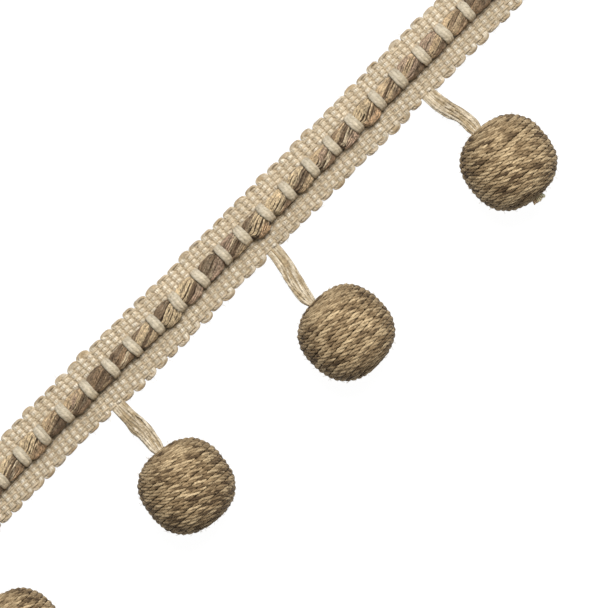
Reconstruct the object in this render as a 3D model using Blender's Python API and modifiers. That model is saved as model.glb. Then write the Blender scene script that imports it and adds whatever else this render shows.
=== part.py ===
"""Beaded fringe trim: a cut length of woven tape with an inlaid cord and wound yarn balls.

Metres, +Z up. X runs along the tape, the balls lie towards -Y, and Z = 0 is the surface that
the trim lies on. The origin is the middle of the tape's flat back.
"""
import math

import bmesh
import bpy
from mathutils import Matrix, Vector

MM = 0.001

# Driving dimensions
LENGTH = 177.8 * MM             # four bead pitches of 44.45 mm: cut lengths tile end to end
PICK = 1.5875 * MM              # width of one weft pick
PICKS_A_LOOP = 4                # every fourth pick floats over the cord as a catch loop
FIRST_LOOP_PICK = 2
FIRST_ROOT_PICK = 8             # the pick boundary that the first hanger leaves from
PICKS_A_BEAD = 28
CLEARANCE = 0.3 * MM            # gap between pieces that touch
WELD = 0.01 * MM
RIB_ANGLE = 40                  # edges sharper than this many degrees stay crisp

# Tape
EDGE_Y = 5.80 * MM              # edge in the valley between two picots, from the centre line
PICOT_REACH = 0.70 * MM
PICOT_SHOULDER = 0.8            # how far the picot has swung out over a pick's middle
TAPE_TOP = 1.55 * MM
RIB_RELIEF = 0.34 * MM          # how deep the groove between two picks is
EDGE_TOP = 0.80 * MM            # height of the widest point of the rounded edge
EDGE_ROUND = 0.75 * MM          # how far the face starts inside the edge
EDGE_UNDERCUT = 0.30 * MM
NOTCH_Y = 4.75 * MM             # edge behind a hanger's root
CHANNEL_FLOOR = 0.90 * MM
CHANNEL_HALF = 1.30 * MM
CHANNEL_WALL = 0.80 * MM        # how far the channel's side leans out on its way up

# Inlaid cord
CORD_Y = 0.32 * MM              # the cord lies a little towards the upper edge
CORD_HALF_WIDTH = 2.22 * MM
CORD_HALF_HEIGHT = 1.75 * MM
CORD_NECK = 0.62                # width under a catch loop, as a share of the full width
CORD_NECK_HEIGHT = 0.82
NECK_HALF = 0.95 * MM           # how far the neck goes on from a loop's middle
NECK_SHOULDER = 1.20 * MM       # length in which the cord swells to its full width
CORD_STRANDS = 6
CORD_LAY = 47.0 * MM            # length in which a strand goes once round
CORD_STRAND_RELIEF = 0.06
CORD_RINGS = (-0.95, 0.95, 1.75, 3.175, 4.60)   # places of a cord's rings after a loop's middle, mm
RING_MARGIN = 0.3 * MM          # how far the rings stay inside the cord's ends
CORD_ANGLE = 70

# Catch loops
LOOP_HALF_WIDTH = 0.92 * MM
LOOP_THICKNESS = 0.55 * MM
LOOP_STEPS = 7
LOOP_FOOT = 0.35 * MM           # how far a loop's foot is sunk in the weave

# Hangers
HANGER_RINGS = 9
HANGER_STRANDS = 7
HANGER_RELIEF = 0.2
HANGER_ROOT_Z = 0.92 * MM

# Balls
BALL_RADIUS = 9.13 * MM         # to the grooves between the turns
BALL_HALF_LENGTH = 9.10 * MM
BALL_SQUARENESS = 2.35          # superellipse exponent of the profile
BALL_TURNS = 14
TURN_RELIEF = 0.38 * MM
POLE_FLAT = 3.4 * MM            # radius where the plain pole begins
BALL_SIDES = 20                 # a multiple of four, so that a crest lies on the surface
FLAT_SPOT_DEPTH = 0.25 * MM

# One row a bead, from -X to +X: the ball's place from its root, the tilt of its turns, how far
# beside the pole the hanger enters, and the hanger's width at its root, middle and end
# (mm and degrees)
BEADS = (
    {"dx": -2.1, "y": -24.7, "tilt": -4.0, "enter": 0.0, "root": 2.9, "middle": 3.3, "end": 2.7},
    {"dx": -1.5, "y": -27.2, "tilt": -8.0, "enter": -0.1, "root": 3.0, "middle": 3.6, "end": 3.0},
    {"dx": -1.5, "y": -28.2, "tilt": 1.0, "enter": -0.5, "root": 3.0, "middle": 3.6, "end": 2.0},
    {"dx": 1.2, "y": -27.2, "tilt": -5.5, "enter": -0.9, "root": 3.1, "middle": 2.9, "end": 3.0},
)

COLOURS = {
    "tape": (0.60, 0.52, 0.38, 1.0),
    "cord": (0.25, 0.18, 0.12, 1.0),
    "hanger": (0.58, 0.50, 0.36, 1.0),
    "ball": (0.33, 0.24, 0.13, 1.0),
}

PICK_COUNT = round(LENGTH / PICK)
LOOP_PITCH = PICK * PICKS_A_LOOP
LOOP_COUNT = PICK_COUNT // PICKS_A_LOOP


def boundary_x(index):
    """X of the boundary before pick number index."""
    return -LENGTH / 2 + index * PICK


def loop_x(index):
    """X of the middle of a catch loop."""
    return boundary_x(FIRST_LOOP_PICK + PICKS_A_LOOP * index + 0.5)


def root_x(index):
    """X of the middle of a hanger's root."""
    return boundary_x(FIRST_ROOT_PICK + PICKS_A_BEAD * index)


def clear_scene():
    """Remove whatever the new file starts with."""
    for old in list(bpy.data.objects):
        bpy.data.objects.remove(old, do_unlink=True)


def new_collection(name):
    """A collection under the scene."""
    made = bpy.data.collections.new(name)
    bpy.context.scene.collection.children.link(made)
    return made


def yarn_material(name, colour):
    """A matt yarn finish."""
    material = bpy.data.materials.new(name)
    material.use_nodes = True
    shader = material.node_tree.nodes["Principled BSDF"]
    shader.inputs["Base Color"].default_value = colour
    shader.inputs["Roughness"].default_value = 0.85
    shader.inputs["Metallic"].default_value = 0.0
    return material


def add_object(name, data, collection, material=None):
    """An object in a collection, with its material."""
    made = bpy.data.objects.new(name, data)
    collection.objects.link(made)
    if material is not None:
        data.materials.append(material)
    return made


def shade(mesh, angle):
    """Smooth shading that keeps edges sharper than the angle in degrees."""
    mesh.shade_smooth()
    mesh.set_sharp_from_angle(angle=math.radians(angle))


def loft(name, sections):
    """A closed mesh through rings of equally many points, capped at both ends."""
    body = bmesh.new()
    rings = [[body.verts.new(point) for point in section] for section in sections]
    count = len(rings[0])
    for ring, following in zip(rings, rings[1:]):
        for i in range(count):
            j = (i + 1) % count
            body.faces.new((ring[i], ring[j], following[j], following[i]))
    body.faces.new(list(reversed(rings[0])))
    body.faces.new(rings[-1])
    bmesh.ops.recalc_face_normals(body, faces=body.faces)
    mesh = bpy.data.meshes.new(name)
    body.to_mesh(mesh)
    body.free()
    return mesh


def picot_swing(column, peak_at_odd):
    """0 in a valley, 1 at a picot's peak; a column is half a pick."""
    phase = column % 4
    if peak_at_odd:
        phase = (phase + 2) % 4
    if phase == 0:
        return 1.0
    return 0.0 if phase == 2 else PICOT_SHOULDER


def near_root(column):
    """True for the columns that make the notch behind a hanger."""
    middles = (2 * (FIRST_ROOT_PICK + PICKS_A_BEAD * i) for i in range(len(BEADS)))
    return any(abs(column - middle) <= 1 for middle in middles)


def tape_section(column):
    """The tape's cross-section at one column, as a ring of points."""
    x = boundary_x(column / 2)
    groove = 0.0 if column % 2 else RIB_RELIEF
    upper_edge = EDGE_Y + PICOT_REACH * picot_swing(column, True)
    lower_edge = EDGE_Y + PICOT_REACH * picot_swing(column, False)
    if near_root(column):
        lower_edge = NOTCH_Y
    face = TAPE_TOP - groove
    side = EDGE_TOP - groove / 3
    channel = CHANNEL_FLOOR - groove / 3
    inner = CHANNEL_HALF + CHANNEL_WALL
    points = [
        (upper_edge - EDGE_UNDERCUT, 0.0),
        (upper_edge, side),
        (upper_edge - EDGE_ROUND, face),
        (CORD_Y + inner, face),
        (CORD_Y + CHANNEL_HALF, channel),
        (CORD_Y - CHANNEL_HALF, channel),
        (CORD_Y - inner, face),
        (-lower_edge + EDGE_ROUND, face),
        (-lower_edge, side),
        (-lower_edge + EDGE_UNDERCUT, 0.0),
    ]
    return [(x, y, z) for y, z in points]


def cord_pinch(x):
    """1 under a catch loop and 0 halfway between two."""
    phase = (x - loop_x(0)) / LOOP_PITCH
    distance = abs(phase - round(phase)) * LOOP_PITCH
    swell = min(max((distance - NECK_HALF) / NECK_SHOULDER, 0.0), 1.0)
    return 1 - swell * swell * (3 - 2 * swell)


def cord_size(x):
    """The cord's half width and half height, without its strands' relief."""
    pinch = cord_pinch(x)
    width = CORD_HALF_WIDTH * (1 - (1 - CORD_NECK) * pinch)
    height = CORD_HALF_HEIGHT * (1 - (1 - CORD_NECK_HEIGHT) * pinch)
    return width, height


def cord_section(x):
    """A ridged oval; on its upper side the ridges rise towards +Y as X grows."""
    width, height = cord_size(x)
    bottom = CHANNEL_FLOOR + CLEARANCE
    sides = 2 * CORD_STRANDS
    ring = []
    for i in range(sides):
        angle = 2 * math.pi * (i / sides - x / CORD_LAY)
        relief = 1.0 if i % 2 else 1 - CORD_STRAND_RELIEF * 2
        y = CORD_Y + width * relief * math.cos(angle)
        z = bottom + height + height * relief * math.sin(angle)
        ring.append((x, y, z))
    return ring


def catch_loop(index, collection):
    """One flat arch over the neck of the cord, as a strap curve."""
    x = loop_x(index)
    width, height = cord_size(x)
    lift = CLEARANCE + LOOP_THICKNESS / 2
    bottom = CHANNEL_FLOOR + CLEARANCE
    foot = TAPE_TOP - RIB_RELIEF - LOOP_FOOT
    reach_y = width + lift
    reach_z = bottom + 2 * height + lift - foot
    curve = bpy.data.curves.new("catch_loop", "CURVE")
    curve.dimensions = "3D"
    curve.extrude = LOOP_HALF_WIDTH - LOOP_THICKNESS / 2
    curve.bevel_depth = LOOP_THICKNESS / 2
    curve.bevel_resolution = 0
    curve.use_fill_caps = True
    spline = curve.splines.new("POLY")
    spline.points.add(LOOP_STEPS)
    for i, point in enumerate(spline.points):
        angle = math.pi * i / LOOP_STEPS
        y = CORD_Y + reach_y * 1.08 * math.copysign(abs(math.cos(angle)) ** 0.8, math.cos(angle))
        z = foot + reach_z * math.sin(angle) ** 0.8
        point.co = (x, y, z, 1.0)
        point.tilt = math.pi / 2
    return add_object("catch_loop", curve, collection)


def mesh_of(source, name, collection, material=None):
    """A curve or a modified object as a welded mesh in its place; the source itself goes."""
    bpy.context.view_layer.update()
    graph = bpy.context.evaluated_depsgraph_get()
    mesh = bpy.data.meshes.new_from_object(source.evaluated_get(graph))
    body = bmesh.new()
    body.from_mesh(mesh)
    bmesh.ops.remove_doubles(body, verts=body.verts, dist=WELD)
    body.to_mesh(mesh)
    body.free()
    made = add_object(name, mesh, collection, material)
    made.matrix_world = source.matrix_world
    bpy.data.objects.remove(source, do_unlink=True)
    return made


def join_meshes(name, pieces, collection):
    """One object that holds all the pieces' bodies."""
    body = bmesh.new()
    for piece in pieces:
        piece.data.transform(piece.matrix_world)
        body.from_mesh(piece.data)
    mesh = bpy.data.meshes.new(name)
    body.to_mesh(mesh)
    body.free()
    for piece in pieces:
        bpy.data.objects.remove(piece, do_unlink=True)
    return add_object(name, mesh, collection)


def hide_cutter(cutter):
    """Mark an object as a Boolean's tool, which is no piece of the trim."""
    cutter.hide_render = True
    cutter.display_type = "WIRE"


def boolean(target, tool, operation):
    """A live Boolean modifier with the exact solver."""
    modifier = target.modifiers.new(operation.lower(), "BOOLEAN")
    modifier.operation = operation
    modifier.object = tool
    modifier.solver = "EXACT"


def make_tape(parts, cutters, material):
    """The woven ground with its ribs, picots and catch loops."""
    sections = [tape_section(column) for column in range(2 * PICK_COUNT + 1)]
    mesh = loft("tape", sections)
    shade(mesh, RIB_ANGLE)
    tape = add_object("tape", mesh, parts, material)
    curves = [catch_loop(i, cutters) for i in range(LOOP_COUNT)]
    arches = [mesh_of(curve, "catch_loop_mesh", cutters) for curve in curves]
    loops = join_meshes("catch_loops", arches, cutters)
    hide_cutter(loops)
    boolean(tape, loops, "UNION")


def make_cord(parts, material):
    """The inlaid cord, as one body that swells between the catch loops."""
    places = [loop_x(i) + ring * MM for i in range(-1, LOOP_COUNT + 1) for ring in CORD_RINGS]
    inside = [x for x in places if abs(x) < LENGTH / 2 - RING_MARGIN]
    xs = [-LENGTH / 2] + inside + [LENGTH / 2]
    mesh = loft("inlay_cord", [cord_section(x) for x in xs])
    shade(mesh, CORD_ANGLE)
    add_object("inlay_cord", mesh, parts, material)


def ball_profile():
    """Points from the upper pole down to the lower one, ridged by the turns."""
    def ground(angle):
        power = 2 / BALL_SQUARENESS
        return Vector((BALL_RADIUS * math.sin(angle) ** power,
                       BALL_HALF_LENGTH * math.copysign(abs(math.cos(angle)) ** power, math.cos(angle))))

    first = math.asin((POLE_FLAT / BALL_RADIUS) ** (BALL_SQUARENESS / 2))
    samples = [first + (math.pi - 2 * first) * i / 400 for i in range(401)]
    run = [0.0]
    for a, b in zip(samples, samples[1:]):
        run.append(run[-1] + (ground(b) - ground(a)).length)
    points = [Vector((0.0, ground(first).y))]
    halves = 2 * BALL_TURNS
    for i in range(halves + 1):
        wanted = run[-1] * i / halves
        k = min(range(len(run)), key=lambda j: abs(run[j] - wanted))
        place = ground(samples[k])
        ahead = ground(samples[min(k + 1, 400)])
        behind = ground(samples[max(k - 1, 0)])
        along = (ahead - behind).normalized()
        outward = Vector((-along.y, along.x))
        points.append(place + outward * (TURN_RELIEF if i % 2 else 0.0))
    points.append(Vector((0.0, ground(math.pi - first).y)))
    return points


def ball_height():
    """Height of a ball's centre when its flat spot is on the surface."""
    return BALL_RADIUS + TURN_RELIEF - FLAT_SPOT_DEPTH


def ball_centre(index):
    """Centre of a ball, from its row in the table."""
    row = BEADS[index]
    return Vector((root_x(index) + row["dx"] * MM, row["y"] * MM, ball_height()))


def make_ball(index, parts, cutters, material):
    """A wound ball: its ridged profile turned about the hanger's direction."""
    mesh = bpy.data.meshes.new("ball_profile")
    points = [(point.x, 0.0, point.y) for point in ball_profile()]
    mesh.from_pydata(points, [(i, i + 1) for i in range(len(points) - 1)], [])
    profile = add_object("ball_profile", mesh, cutters)
    profile.location = ball_centre(index)
    profile.rotation_euler = (-math.pi / 2, 0.0, math.radians(BEADS[index]["tilt"]))
    screw = profile.modifiers.new("turn", "SCREW")
    screw.axis = "Z"
    screw.steps = BALL_SIDES
    screw.render_steps = BALL_SIDES
    screw.use_merge_vertices = True
    screw.merge_threshold = WELD
    ball = mesh_of(profile, f"ball_{index + 1}", parts, material)
    shade(ball.data, RIB_ANGLE)
    boolean(ball, cutters.objects["floor_cutter"], "DIFFERENCE")


def floor_cutter(cutters):
    """A block under the surface, which gives each ball its flat spot."""
    mesh = bpy.data.meshes.new("floor_cutter")
    body = bmesh.new()
    bmesh.ops.create_cube(body, size=1.0)
    block = Vector((LENGTH, 80 * MM, 10 * MM))
    bmesh.ops.scale(body, vec=block, verts=body.verts)
    body.to_mesh(mesh)
    body.free()
    cutter = add_object("floor_cutter", mesh, cutters)
    cutter.location = (0.0, -20 * MM, -block.z / 2)
    hide_cutter(cutter)
    return cutter


def hanger_path(index):
    """Centre points from the tape's notch up to the ball's pole."""
    row = BEADS[index]
    tilt = math.radians(row["tilt"])
    turn = Matrix.Rotation(tilt, 3, "Z")
    axis = turn @ Vector((0.0, 1.0, 0.0))
    aside = turn @ Vector((row["enter"] * MM, 0.0, 0.0))
    pole = ball_centre(index) + aside + axis * (ball_profile()[0].y + CLEARANCE)
    root = Vector((root_x(index), -NOTCH_Y - CLEARANCE, HANGER_ROOT_Z))
    reach = (root.y - pole.y) * 0.5
    leave = root + Vector((0.0, -reach, 0.0))
    arrive = pole + axis * reach
    points = []
    for i in range(HANGER_RINGS):
        t = i / (HANGER_RINGS - 1)
        u = 1 - t
        points.append(root * u ** 3 + leave * 3 * u * u * t + arrive * 3 * u * t * t + pole * t ** 3)
    return points


def hanger_section(index, points, i):
    """A flat bundle of strands across the path."""
    row = BEADS[index]
    t = i / (HANGER_RINGS - 1)
    middle = 4 * t * (1 - t)
    width = (row["root"] * (1 - t) + row["end"] * t) * (1 - middle) + row["middle"] * middle
    thickness = 1.35 + 0.55 * t
    if i == 0:
        width *= 0.72
        thickness *= 0.85
    ahead = points[min(i + 1, len(points) - 1)]
    behind = points[max(i - 1, 0)]
    along = (ahead - behind).normalized()
    if i in (0, HANGER_RINGS - 1):
        along = Vector((0.0, -1.0, 0.0))
    across = along.cross(Vector((0.0, 0.0, 1.0))).normalized()
    up = across.cross(along)
    sides = 2 * HANGER_STRANDS
    ring = []
    for k in range(sides):
        angle = 2 * math.pi * (k / sides + 0.12 * t)
        relief = 1.0 if k % 2 else 1 - HANGER_RELIEF
        offset = across * math.cos(angle) * width / 2 + up * math.sin(angle) * thickness / 2
        ring.append(points[i] + offset * relief * MM)
    return ring


def make_hanger(index, parts, material):
    """A ball's hanger: one bundle, with its strands as ridges."""
    points = hanger_path(index)
    name = f"hanger_{index + 1}"
    mesh = loft(name, [hanger_section(index, points, i) for i in range(len(points))])
    shade(mesh, RIB_ANGLE)
    add_object(name, mesh, parts, material)


def main():
    clear_scene()
    parts = new_collection("beaded_fringe_trim")
    cutters = new_collection("cutters")
    materials = {name: yarn_material(name + "_yarn", colour) for name, colour in COLOURS.items()}
    make_tape(parts, cutters, materials["tape"])
    make_cord(parts, materials["cord"])
    floor_cutter(cutters)
    for index in range(len(BEADS)):
        make_ball(index, parts, cutters, materials["ball"])
        make_hanger(index, parts, materials["hanger"])
    bpy.context.view_layer.update()


main()
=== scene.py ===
"""Looks of the beaded fringe trim: the yarns of its weave, its cord, its hangers and its balls.

Sizes are in millimetres until a mesh is made. X runs along the tape and -Y points to the balls,
as in the frame. Every yarn is a tube along a line that is worked out from the weave's grid.
"""
import math

import bpy
import numpy as np
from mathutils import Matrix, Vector


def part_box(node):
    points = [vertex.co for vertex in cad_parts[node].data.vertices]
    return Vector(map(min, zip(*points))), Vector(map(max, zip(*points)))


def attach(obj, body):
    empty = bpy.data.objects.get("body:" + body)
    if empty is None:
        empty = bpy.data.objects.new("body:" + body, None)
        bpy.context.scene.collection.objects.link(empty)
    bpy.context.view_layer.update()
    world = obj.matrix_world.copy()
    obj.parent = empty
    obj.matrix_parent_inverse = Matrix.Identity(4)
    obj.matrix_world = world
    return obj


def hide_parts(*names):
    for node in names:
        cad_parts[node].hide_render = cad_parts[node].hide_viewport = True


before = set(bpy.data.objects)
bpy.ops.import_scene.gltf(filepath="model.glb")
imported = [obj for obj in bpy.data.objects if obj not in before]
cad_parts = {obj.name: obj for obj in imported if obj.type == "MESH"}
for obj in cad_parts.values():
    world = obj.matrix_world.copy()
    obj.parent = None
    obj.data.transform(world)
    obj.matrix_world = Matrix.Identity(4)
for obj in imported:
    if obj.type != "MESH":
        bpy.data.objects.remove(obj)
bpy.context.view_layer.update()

MM = 0.001
ABOVE = np.array([0.0, 0.0, 1.0])
GOLDEN_ANGLE = math.pi * (3 - math.sqrt(5))  # spreads points evenly over a round face

# The weave's grid
LENGTH = 177.8
PICK = 1.5875  # width of one pick, a pass of the weft
PICK_COUNT = 112
PICKS_A_LOOP = 4  # every fourth pick passes over the cord
LOOP_PITCH = PICK * PICKS_A_LOOP
FIRST_LOOP_PICK = 2
PICKS_A_BEAD = 28
FIRST_ROOT_PICK = 8  # the pick boundary that the first hanger leaves from
WARP_PITCH = 0.5333
WARP_REACH = 10  # warps lie at -10 to 10 times their pitch
EDGE_Y = 5.8  # the tape's edge between two picots

# Heights in the weave
GROUND_Z = 0.80  # middle of the cloth
CHANNEL_HALF = 2.5  # half width of the channel under the cord
CHANNEL_DROP = 0.18  # how much lower the cloth lies in it
CHANNEL_CALM = 0.4  # how much less the yarns wave in it

# The tape's unevenness
STRAY_PLACES = (-88.9, -60, -41.8, -15.5, 4.7, 20.9, 45, 88.9)
STRAYS = (0.0, 0.1, 0.28, -0.14, 0.10, -0.06, 0.08, 0.0)  # how far its middle lies to +Y there
PICK_LEAN = 0.45  # how far the picks are ahead on the side of +Y
PICK_LEAN_LOSS = 0.69  # how much less at the lower edge
PICK_LEAN_TOP = -1.0  # where on Y this loss begins
PICK_LEAN_RUN = 5.0  # and over what width
LOW_EDGE_OUT = 0.27  # how much further out the lower edge lies
BROAD_PLACE = -24.0  # where along the tape it is broader
BROAD_OUT = 0.3  # how much further out its edges lie there
BROAD_SPAN = 9.0

# Weft: a group of three strands
STRAND_GAP = 0.46
STRAND_CROWN = 0.16  # how much higher the middle strand lies than the outer two
STRAND_WIDE = 0.28  # half width of a strand
STRAND_HIGH = 0.32  # half height of a strand
PICOT_WIDER = 0.05
WEFT_PIECES = 3
WEFT_WAVE = 0.26  # how far a pick swings up and down between the warps
WAVE_SPREAD = 0.25  # how much its waves differ
RUN_STEPS = 61
RUN_END = 5.48  # where a pick's straight run ends and its turn begins
PICK_SPREAD = 0.88  # how far apart the strands lie, against their gap
CREST_PINCH = 0.20  # how much closer they lie on a crest
ROLL_RISE = 0.5  # share of a roll's rise that the strands follow

# The weft's turns at the picots
TURN_STEPS = 9
TURN_SQUARENESS = 2.25
TURN_FLARE = 1.14  # how much wider a turn is than the two picks it joins
TURN_REACH = 0.10  # how far out a turn of no width would reach
TURN_REACH_SHARE = 0.60  # and how much further for each millimetre of half width
TURN_FALL = 0.32  # how much lower a turn lies for each millimetre of half width
TWISTED_SHARE = 0.55  # share of the turns in which the group twists over
TWISTED_REACH = 0.63
TWISTED_STACK = 0.7  # how far apart its strands then lie in height, against their gap

# Tones of the weft, with painted highlight and shade
PAINTED_CREST_LIGHT = 0.72
PAINTED_CREST_SHINE = 0.38  # how much the crests' painted highlight differs
PAINTED_SHADE_POWER = 1.2  # how fast the painted shade grows beside a pick's crests
# painted shade on the outer two strands of a pick
OUTER_PAINTED_SHADE = 0.40
TURN_LIGHT = 0.35
PICOT_LIGHT = 0.45  # share of the crests' painted lightness that a picot keeps
WEFT_TONE = 1.09
MIDDLE_TONE = 0.95
# painted shade: the lower band is dyed darker, most in its valleys; the upper band is a little lighter,
# with its crests dyed darker against their highlight and its picots darker
LOW_PAINTED_SHADE = 0.03
LOW_VALLEYS_PAINTED_SHADE = 0.22
HIGH_LIGHTER = 0.04
HIGH_CRESTS_PAINTED_SHADE = 0.10
HIGH_PICOTS_DARKER = 0.15

# Warp
WARP_RADIUS = 0.25
WARP_FLATNESS = 0.95  # its height against its width
WARP_WAVE = 0.32
WARP_WAVE_POWER = 0.6  # the smaller, the squarer the wave
WARP_STEP = 0.36

# The thin cloth between the yarns
GROUND_EDGE = 5.56  # its half width
GROUND_SCALLOP = 0.42  # how much further it reaches inside a picot
GROUND_STEPS_A_PICK = 4

# Stray fibres
FUZZ_RADIUS = 0.025
FUZZ_SCATTER = 0.9  # how far a fibre's heading strays from straight out
FUZZ_BEND = 0.45
TAPE_FUZZ_A_PICK = 10
TAPE_FUZZ_OFFSET = 0.25  # how far off a strand's middle a fibre starts
TAPE_FUZZ_RISE = 0.5
CORD_FUZZ_SIDE = 0.1  # fibres leave strands whose place round the cord has a larger sine
CORD_FUZZ_AHEAD = 0.8  # how much their heading follows the cord
CORD_FUZZ_OUT = 0.4  # and how much it points away from it
BALL_FUZZ_OFFSET = 0.5
BALL_FUZZ_OUT = 0.3
HANGER_FUZZ = 50
HANGER_FUZZ_STEPS = slice(4, -8)

# Cord
CORD_END = LENGTH / 2 - 0.1
CORD_Y = 0.32
CORD_BOTTOM = 1.2
CORD_HALF_WIDTH = 2.24
CORD_UPPER = 2.15  # height of the cord above its widest level
CORD_LOWER = 1.15  # depth of the cord below it
UNDERSIDE_POWER = 0.55  # how square the cord's underside is pressed
CORD_NECK = 0.68  # its width under a loop, against its full width
CORD_NECK_HEIGHT = 0.90  # and its height
CORD_LAY = 33.0  # length of the strands' turn round the cord
CORD_STRANDS = 34
CORD_STRAND_RADIUS = 0.19
CORD_DEPTH = 0.09  # how much the strands' depth in the cord's outline differs
CORD_RINGS = (-0.55, -0.2, 0.2, 0.55, 0.85, 1.15, 1.5, 1.9, 2.35, 2.8, 3.3, 3.8, 4.25, 4.7, 5.1, 5.45)
RING_GAP = 0.15  # least length between a ring and the cord's end
CORE_INSET = 0.45  # how deep the core lies inside the cord's outline

# Cut ends of the strands inside the cord
CUT_STRANDS = 46
CUT_RADIUS = 0.24
CUT_INSET = 0.45  # how far inside the cord's outline the outermost lies

# Tones of the cord
BAND_BLUR = 0.35  # width over which one dye fades into the next
UNDERSIDE_SINE = -0.25  # the underside begins here on the sine of the place round the cord
UNDERSIDE_MIRROR = 1.408  # twice the Y about which its bands mirror those above
CORD_TONE = 1.50
PAINTED_FLANK_LIGHT = 2.8  # painted light: how much lighter the flank is dyed, as it lies in shade
# and how much more painted light it gets under a loop
PAINTED_NECK_LIGHT = 0.8
HAZE = 0.10  # share of one tan that is mixed into all the dyes
STREAK_SHARE = 0.5
STREAK_LEVEL = 0.15
CORD_LIGHTEST = 0.88

# Catch loops
ARCH_STEPS = 33
ARCH_HALF = 1.98  # from the cord's middle to a loop's foot on the side of -Y
ARCH_UPPER_HALF = 2.15  # and on the side of +Y
ARCH_TOP = 4.50  # height at which a loop's strands pass over the cord
ARCH_SQUARENESS = 2.5
ARCH_SPREAD = 1.22  # how far apart a loop's strands lie, against their gap
LOOP_WIDER = 0.30
LOOP_BARREL = 0.32  # the smaller, the sooner a loop reaches its full width
LOOP_CROWN = 0.5  # how much of the strands' crown a loop keeps
LOOP_LEAN_REACH = 2.6  # how far beside the cord the lean reaches
LOOP_STRAND_PAINTED_TONES = (0.88, 1.06, 0.88)  # painted highlight on a loop's middle strand, painted shade on its outer two

# Balls
BALL_RADIUS = 9.51  # over the crests of the turns
BALL_SQUARENESS = 2.5
BALL_AXIAL = 0.965  # half length from pole to pole against the radius
PROFILE_STEPS = 2001
PATH_STEPS = 60000
SLOPE_REACH = 0.1  # how far on both sides of a point its slope is measured
TURN_PITCH = 1.17
YARN_RADIUS = 0.48
PLIES = 3
PLY_SPREAD = 0.36  # how far a ply swings sideways in its yarn
PLY_RISE = 0.13  # how far it swings up and down
PLY_WIDE = 0.32  # half width of a ply
PLY_HIGH = 0.26  # half height of a ply, pressed flat on the ball
PLY_PITCH = 4.5
PLY_STEP = 0.55
BALL_CORE_DEPTH = 1.35  # how deep the core lies, in radii of the yarn
BALL_CORE_CAP = 0.02  # length of the profile that its ends leave out

# Painted shade on the balls
PAINTED_LOW_SHADE = 0.74  # painted shade: how dark a ball's lower yarn is dyed against its top
PAINTED_SHADE_TOP = 1.35  # the height, in radii, from which the painted shade fades out

# Yarn ends at the balls' poles
POLE_HOLE = 0.8  # radius of the hole that the turns leave
TUFT_FIBRES = 60
TUFT_RADIUS = 0.17
TUFT_ROOT = 0.9  # how deep in the ball the ends begin
TUFT_SPLAY = 0.2
TUFT_SCATTER = 0.12
TUFT_TINT = (1.4, 1.45, 1.8)  # how much lighter a millimetre of stand makes them, by colour
HANGER_POLE = (-0.25, 0.9)  # stand and radius of the ends round a hanger

# Hangers
HANGER_STEPS = 60
HANGER_SHIFT = -0.1  # where the root lies beside its pick boundary
HANGER_ROOT_INSET = 0.25
HANGER_POLE_INSET = 1.3
HANGER_WIDE = 0.28  # half width of a strand
HANGER_HIGH = 0.27
HANGER_RIM = 0.24  # how far the outermost strand lies inside the bundle's edge
HANGER_CLOSE = 0.35  # share by which the strands close up where they enter the ball
HANGER_STRAY = 0.08  # how far a strand strays sideways
HANGER_STRAY_MIDDLE = 0.20  # and how much more in the middle
HANGER_LAYER = 0.16  # how far the strands lie above and below the middle, by turns
HANGER_SHADE_MIX = 0.45
HANGER_TONE = 1.13
HANGER_CORE_INSET = 0.45
HANGER_CORE_HIGH = 0.22

# One row a bead, from -X to +X: tilt of the turns in degrees, how far beside the pole the
# hanger enters, the hanger's width at its root, middle and end, how far the tuft stands out of the
# far pole, and the tuft's radius
BEADS = (
    {"tilt": -4.0, "enter": 0.0, "root": 2.9, "middle": 3.3, "end": 2.7, "tuft": -0.3, "stub": 0.7},
    {"tilt": -8.0, "enter": -0.1, "root": 3.0, "middle": 3.6, "end": 3.0, "tuft": -0.3, "stub": 0.7},
    {"tilt": 1.0, "enter": -0.5, "root": 3.0, "middle": 3.6, "end": 2.0, "tuft": -0.3, "stub": 0.7},
    {"tilt": -5.5, "enter": -0.9, "root": 3.1, "middle": 2.9, "end": 3.0, "tuft": 0.8, "stub": 1.15},
)

# Light, in metres
KEY_PLACE = (0.44, 0.44, 1.18)
HORIZON_LIGHT = 0.4
SKY_LIGHT = 0.22

# Camera, in degrees and metres
CAMERA_TURN = -45.15
CAMERA_PLACE = (0.00927, -0.01813, 1.2015)
VIEW_WIDTH = 0.1228
VIEW_DISTANCE = 1.2
SENSOR_WIDTH = 36


def display(red, green, blue):
    """A scene-linear colour from display values of 0 to 255."""
    level = np.array([red, green, blue]) / 255
    return np.where(level <= 0.04045, level / 12.92, ((level + 0.055) / 1.055) ** 2.4)


WEFT_LIGHT = display(238, 229, 211)
WEFT_SHADE = display(206, 188, 158)
LOOP_CREAM = display(224, 212, 189)
LOOP_SHADE = display(202, 187, 160)
PICOT_TAN = display(178, 156, 123)
WARP_TAN = display(200, 183, 156)
# painted shade: a darker tan for the low parts of the weave, the warps where they dip and the cloth
# between the yarns
SHADE_TAN = display(184, 166, 138)
HANGER_LIGHT = display(222, 209, 186)
HANGER_SHADE = display(172, 153, 122)
BALL_LIGHT = display(222, 196, 154)
BALL_TAN = display(163, 137, 101)
BALL_BROWN = display(94, 74, 51)

DYES = {
    "G": display(197, 175, 140),
    "L": display(207, 189, 158),
    "T": display(186, 162, 128),
    "M": display(158, 134, 113),
    "B": display(136, 112, 86),
    "D": display(106, 87, 68),
}

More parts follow.
